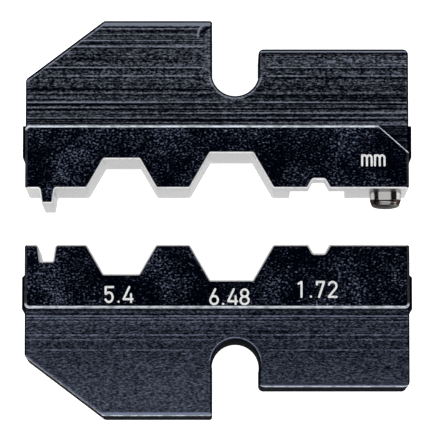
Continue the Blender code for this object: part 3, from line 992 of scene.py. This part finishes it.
def polished_pin(colors):
    """Polished pin with very fine turning lines, and a turned lead painted dark for the dark reflections
    it shows, with three painted highlight rings.

    Each ring is a bell along the axis and fades towards the pin's sides, as a highlight does. The tip
    is matt grey.
    """
    finish = Finish("polished_pin", Metallic=1.0, Specular_Tint=(0.4, 0.38, 0.36, 1))
    out = OPEN_GAP / 2 / MM - finish.axis("Y")
    lines = finish.noise((0.3, 14.0, 0.3), 1.0)
    # Painted highlight rings, kept to the middle of the pin and faded towards its sides
    middle = 1 - abs(finish.axis("X") - PIN_X / MM).within(0.75, 1.0)
    rings = largest_of([out.line(place, width) for place, width in PIN_RING_HIGHLIGHTS]) * middle
    lead = out.within(PIN_STRAIGHT / MM, PIN_STRAIGHT / MM + 0.06)
    tip = out.within(PIN_SHOULDER / MM - 0.01, PIN_SHOULDER / MM + 0.02)
    bright = tuple(colors.pin_color)
    steel = finish.darker(lines.within(0.3, 0.7), 0.88, bright)
    # The lead's dark colour is painted dark reflection, with the painted highlight rings on it
    lead_reflections = finish.mix(rings, (0.045, 0.035, 0.033), bright)
    steel = finish.mix(lead, steel, lead_reflections)
    finish.give("Base Color", finish.mix(tip, steel, tuple(0.3 * value for value in bright)))
    finish.give("Roughness", lines * 0.06 + 0.1 + lead * 0.1 + tip * 0.2)
    finish.bump(lines, 0.001 * MM)
    return finish.material


def finishes_of(side):
    """The finishes of a half, in the order of its material slots."""
    colors = bpy.context.scene.crimp_die_finish
    return [black_tang(colors, side), black_head(colors), ground_steel(colors), black_wall(colors),
            white_mark(colors), tang_edge(colors, side), head_edge(colors, side), nest_edge(side)]


def machined_half(name, side, locator, marks):
    """One half: plate and head block joined, then nests, pocket and figures cut."""
    shape = bpy.context.scene.crimp_die_shape
    finishes = finishes_of(side)
    half = prism(name, plate_outline(shape.head_edge),
                 convex_edges(PAD_STEP, TANG_FRONT, shape.tang_edge), side, finishes[TANG])
    head = prism("head", head_outline(shape.head_edge),
                 convex_edges(0, THICKNESS, shape.head_edge), side, finishes[HEAD])
    combine(half, [head], "UNION")

    contour = prism("contour", nest_contour(locator),
                    flared_edges(0, THICKNESS, shape.nest_edge), side, finishes[GROUND])
    combine(half, [contour], "DIFFERENCE")

    mouth = shape.small_nest_mouth
    small_nest = rounded(half_hexagon(SMALL_NEST_X, SMALL_NEST, mouth, 0, SMALL_NEST_RADIUS))
    small = prism("small", small_nest, [
        (-mouth, 0),
        (THICKNESS - mouth, 0),
        (THICKNESS + mouth, 2 * mouth),
    ], side, finishes[GROUND])
    combine(half, [small], "DIFFERENCE")

    reach = POCKET_WIDTH / 2
    pocket = prism("pocket", rounded([
        (SMALL_NEST_X - reach, -REACH, 0),
        (SMALL_NEST_X + reach, -REACH, 0),
        (SMALL_NEST_X + reach, POCKET_DEPTH, POCKET_CORNER),
        (SMALL_NEST_X - reach, POCKET_DEPTH, POCKET_CORNER),
    ]), [(-REACH, 0), (THICKNESS - SMALL_NEST_LAND, 0)], side, finishes[GROUND])
    combine(half, [pocket], "DIFFERENCE")

    combine(half, engraving(marks, side, shape, finishes[MARK]), "DIFFERENCE")
    return half, finishes


def finish_half(half, finishes, node, body):
    """Dresses a cut half and lets it stand for its node on its body."""
    dress(half, finishes)
    check_solid(half, node)
    smooth(half, HALF_SHARP)
    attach(half, body)
    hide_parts(node)


class CRIMPDIE_OT_upper_half(bpy.types.Operator):
    """Makes the upper half with its locating tooth, cut corner and pin seat"""
    bl_idname = "crimpdie.upper_half"
    bl_label = "Upper half"

    def execute(self, context):
        half, finishes = machined_half("upper_die_machined", 1, tooth(), UPPER_MARKS)
        slope = MARK_DOWN / MARK_ALONG
        corner = np.array([
            (HALF_WIDTH + PAD_STEP, HEAD_HEIGHT - MARK_DOWN - PAD_STEP * slope),
            (HALF_WIDTH + PAD_STEP, HEAD_HEIGHT + PAD_STEP),
            (HALF_WIDTH - MARK_ALONG - PAD_STEP / slope, HEAD_HEIGHT + PAD_STEP),
        ])
        edge = context.scene.crimp_die_shape.nest_edge
        levels = [(z, growth) for z, growth in flared_edges(0, THICKNESS, edge) if z > TANG_FRONT]
        cutter = prism("cut_corner", corner, [(TANG_FRONT, 0), *levels], 1, finishes[HEAD_EDGE])
        combine(half, [cutter], "DIFFERENCE")
        seat = turned("seat", [
            (SEAT_RADIUS + REACH, -REACH),
            (SEAT_RADIUS, 0),
            (SEAT_RADIUS, SEAT_DEPTH),
        ], OPEN_GAP / 2, 1, finishes[WALL])
        combine(half, [seat], "DIFFERENCE")
        finish_half(half, finishes, "upper_die", "upper_half")
        return {"FINISHED"}


class CRIMPDIE_OT_lower_half(bpy.types.Operator):
    """Makes the lower half with its notch, pin bore and three engraved nest sizes"""
    bl_idname = "crimpdie.lower_half"
    bl_label = "Lower half"

    def execute(self, context):
        half, finishes = machined_half("lower_die_machined", -1, notch(), LOWER_MARKS)
        bore = turned("bore", [
            (BORE_RADIUS + BORE_MOUTH + REACH, -REACH),
            (BORE_RADIUS, BORE_MOUTH),
            (BORE_RADIUS, BORE_DEPTH),
        ], -OPEN_GAP / 2, -1, finishes[WALL])
        combine(half, [bore], "DIFFERENCE")
        finish_half(half, finishes, "lower_die", "lower_half")
        return {"FINISHED"}


class CRIMPDIE_OT_guide_pin(bpy.types.Operator):
    """Makes the polished guide pin with its grooved lead and slightly domed tip"""
    bl_idname = "crimpdie.guide_pin"
    bl_label = "Guide pin"

    def execute(self, context):
        plane = OPEN_GAP / 2
        seat_end = PIN_HIGH.y - plane
        dome_height = plane - PIN_LOW.y - PIN_SHOULDER
        tip_radius = PIN_RADIUS - PIN_LEAD_IN

        # The lead narrows with the power 1.5 of the way along it, but for its grooves
        lead = [(PIN_RADIUS, PIN_STRAIGHT)]
        for along in PIN_GROOVES:
            share = (along - PIN_STRAIGHT) / (PIN_SHOULDER - PIN_STRAIGHT)
            radius = PIN_RADIUS - PIN_LEAD_IN * share ** 1.5
            lead += [
                (radius, along - PIN_GROOVE_DEPTH),
                (radius - PIN_GROOVE_DEPTH, along),
                (radius - PIN_GROOVE_DEPTH / 2, along + PIN_GROOVE_DEPTH),
            ]

        # The dome is a quarter of an ellipse: its radius times a cosine, its height times the sine
        bend = np.linspace(0, np.radians(DOME_TURN), DOME_STEPS)
        dome = list(zip(tip_radius * np.cos(bend), PIN_SHOULDER + dome_height * np.sin(bend)))
        profile = [(tip_radius, -seat_end), (PIN_RADIUS, -seat_end + PIN_LEAD_IN), *lead, *dome]
        pin = turned("guide_pin_polished", profile, plane, -1,
                     polished_pin(context.scene.crimp_die_finish))
        check_solid(pin, "guide_pin")
        smooth(pin, PIN_SHARP)
        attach(pin, "upper_half")
        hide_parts("guide_pin")
        return {"FINISHED"}


class CRIMPDIE_OT_studio(bpy.types.Operator):
    """Makes the white light table, the lights round it and the camera above it"""
    bl_idname = "crimpdie.studio"
    bl_label = "Studio"

    def execute(self, context):
        scene, studio = context.scene, context.scene.crimp_die_studio
        spread = np.linspace(-TABLE_HALF, TABLE_HALF, TABLE_STEPS)
        x, y = np.meshgrid(spread, spread)
        index = np.arange(x.size).reshape(x.shape)
        faces = np.stack([index[:-1, :-1], index[:-1, 1:], index[1:, 1:], index[1:, :-1]], axis=2)
        table = Finish("light_table", Base_Color=(0.9, 0.9, 0.9, 1), Roughness=0.6,
                       Emission_Color=(1, 1, 1, 1), Emission_Strength=studio.floor_glow)
        floor = new_piece("light_table", np.stack([x, y, np.full_like(x, -TABLE_DROP)], axis=2),
                          faces.reshape(-1, 4).tolist(), table.material)

        for name, place, (turn_x, turn_y), size, power in LIGHTS:
            light = bpy.data.lights.new(name, "AREA")
            light.shape = "RECTANGLE"
            light.size, light.size_y = size
            light.energy = power
            lamp = bpy.data.objects.new(name, light)
            lamp.location = place
            lamp.rotation_euler = (math.radians(turn_x), math.radians(turn_y), 0)
            scene.collection.objects.link(lamp)

        world = bpy.data.worlds.new("room")
        world.use_nodes = True
        world.node_tree.nodes["Background"].inputs["Color"].default_value = (0.014, 0.014, 0.015, 1)
        scene.world = world
        scene.view_settings.view_transform = "Standard"

        camera = bpy.data.cameras.new("camera")
        camera.lens = studio.lens
        camera.clip_start = 0.01
        viewer = bpy.data.objects.new("camera", camera)
        target = np.array([AIM_X, AIM_Y, THICKNESS])
        back = np.array([0.0, -math.cos(studio.elevation), math.sin(studio.elevation)])
        viewer.location = target + studio.distance * back
        viewer.rotation_euler = (math.pi / 2 - studio.elevation, 0, 0)
        scene.collection.objects.link(viewer)
        scene.camera = viewer
        return {"FINISHED"}


class CRIMPDIE_PT_panel(bpy.types.Panel):
    """Sizes and colours of the die, with a button for each piece"""
    bl_idname = "CRIMPDIE_PT_panel"
    bl_label = "Crimp die"
    bl_space_type = "VIEW_3D"
    bl_region_type = "UI"
    bl_category = "Crimp die"

    def draw(self, context):
        for group in ("crimp_die_shape", "crimp_die_finish", "crimp_die_studio"):
            settings = getattr(context.scene, group)
            box = self.layout.box()
            for name in settings.__annotations__:
                box.prop(settings, name)
        for operator in OPERATORS:
            self.layout.operator(operator.bl_idname)


GROUPS = {
    "crimp_die_shape": CrimpDieShape,
    "crimp_die_finish": CrimpDieFinish,
    "crimp_die_studio": CrimpDieStudio,
}
OPERATORS = (CRIMPDIE_OT_upper_half, CRIMPDIE_OT_lower_half, CRIMPDIE_OT_guide_pin, CRIMPDIE_OT_studio)


def register():
    for name, group in GROUPS.items():
        bpy.utils.register_class(group)
        setattr(bpy.types.Scene, name, bpy.props.PointerProperty(type=group))
    for operator in OPERATORS:
        bpy.utils.register_class(operator)
    bpy.utils.register_class(CRIMPDIE_PT_panel)


def unregister():
    bpy.utils.unregister_class(CRIMPDIE_PT_panel)
    for operator in reversed(OPERATORS):
        bpy.utils.unregister_class(operator)
    for name, group in GROUPS.items():
        delattr(bpy.types.Scene, name)
        bpy.utils.unregister_class(group)


def main():
    """Makes every piece and the studio."""
    register()
    bpy.ops.crimpdie.upper_half()
    bpy.ops.crimpdie.lower_half()
    bpy.ops.crimpdie.guide_pin()
    bpy.ops.crimpdie.studio()


if __name__ == "__main__":
    main()
